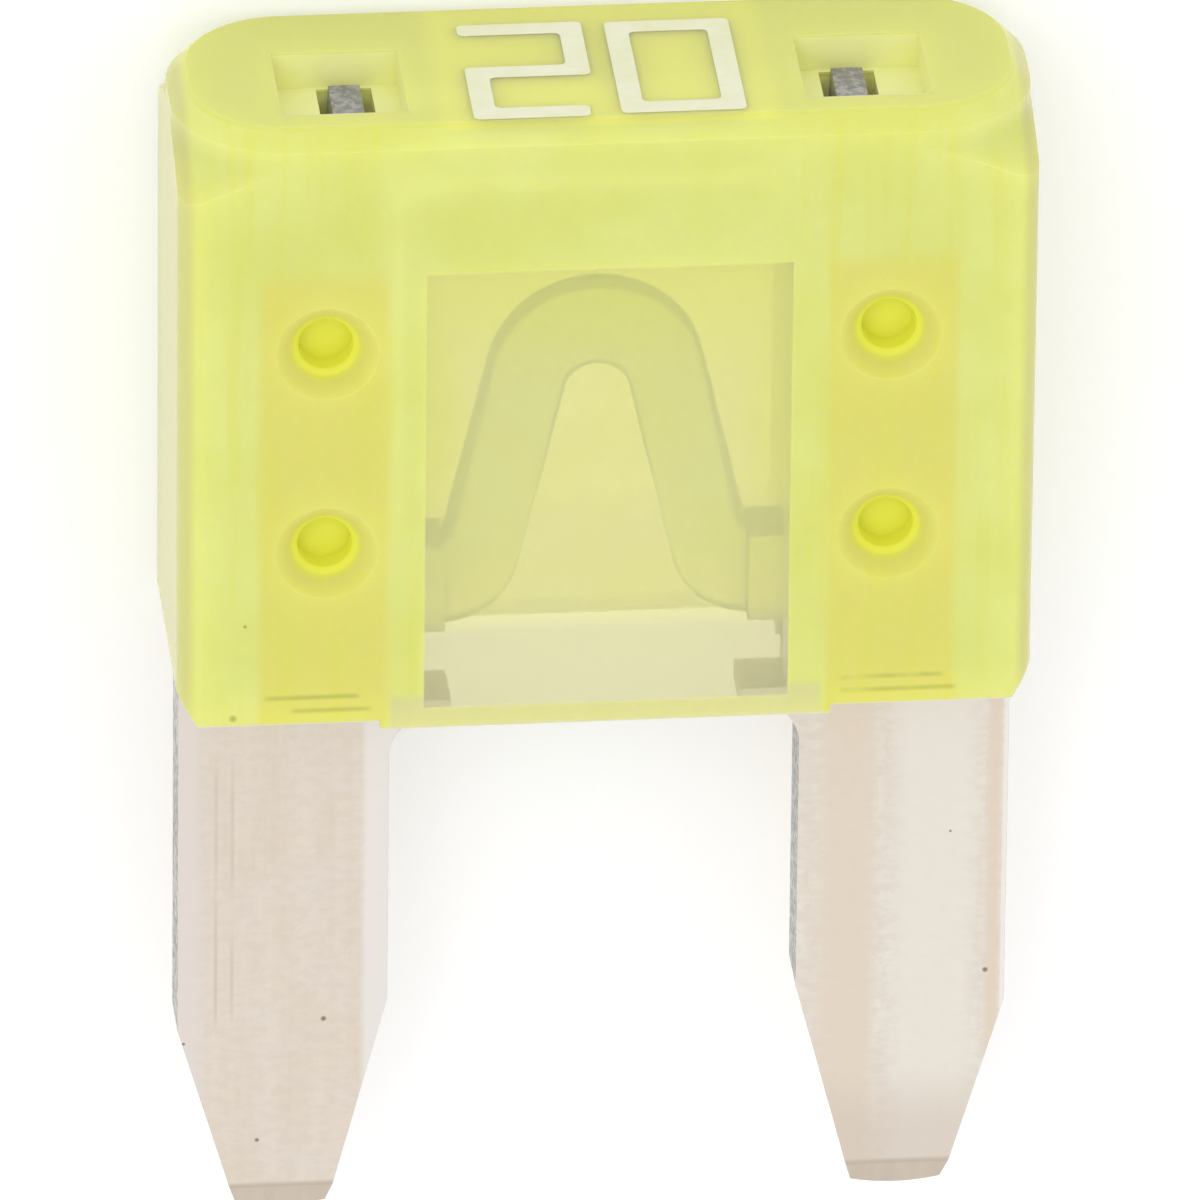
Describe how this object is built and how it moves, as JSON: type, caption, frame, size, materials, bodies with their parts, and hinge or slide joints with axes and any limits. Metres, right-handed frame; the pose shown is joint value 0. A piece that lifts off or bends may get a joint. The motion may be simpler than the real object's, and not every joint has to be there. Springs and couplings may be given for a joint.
{
  "type": "automotive blade fuse",
  "caption": "Miniature plug-in blade fuse for a vehicle: translucent yellow housing over a one-piece metal element with flat tapered blades and an arched fuse link.",
  "frame": {"origin": "middle of the outline seen from the front, on the back face that the fuse rests on", "axes": "+X to the right seen from the front, +Y from the blade tips towards the head, +Z out of the front face"},
  "size_m": [0.011, 0.0164, 0.0036],
  "materials": {
    "housing": "satin translucent yellow plastic",
    "metal": "matt tin-coloured plating",
    "print": "matt ink"
  },
  "bodies": {
    "root": {"housing": "housing", "fuse_element": "metal"}
  },
  "joints": []
}
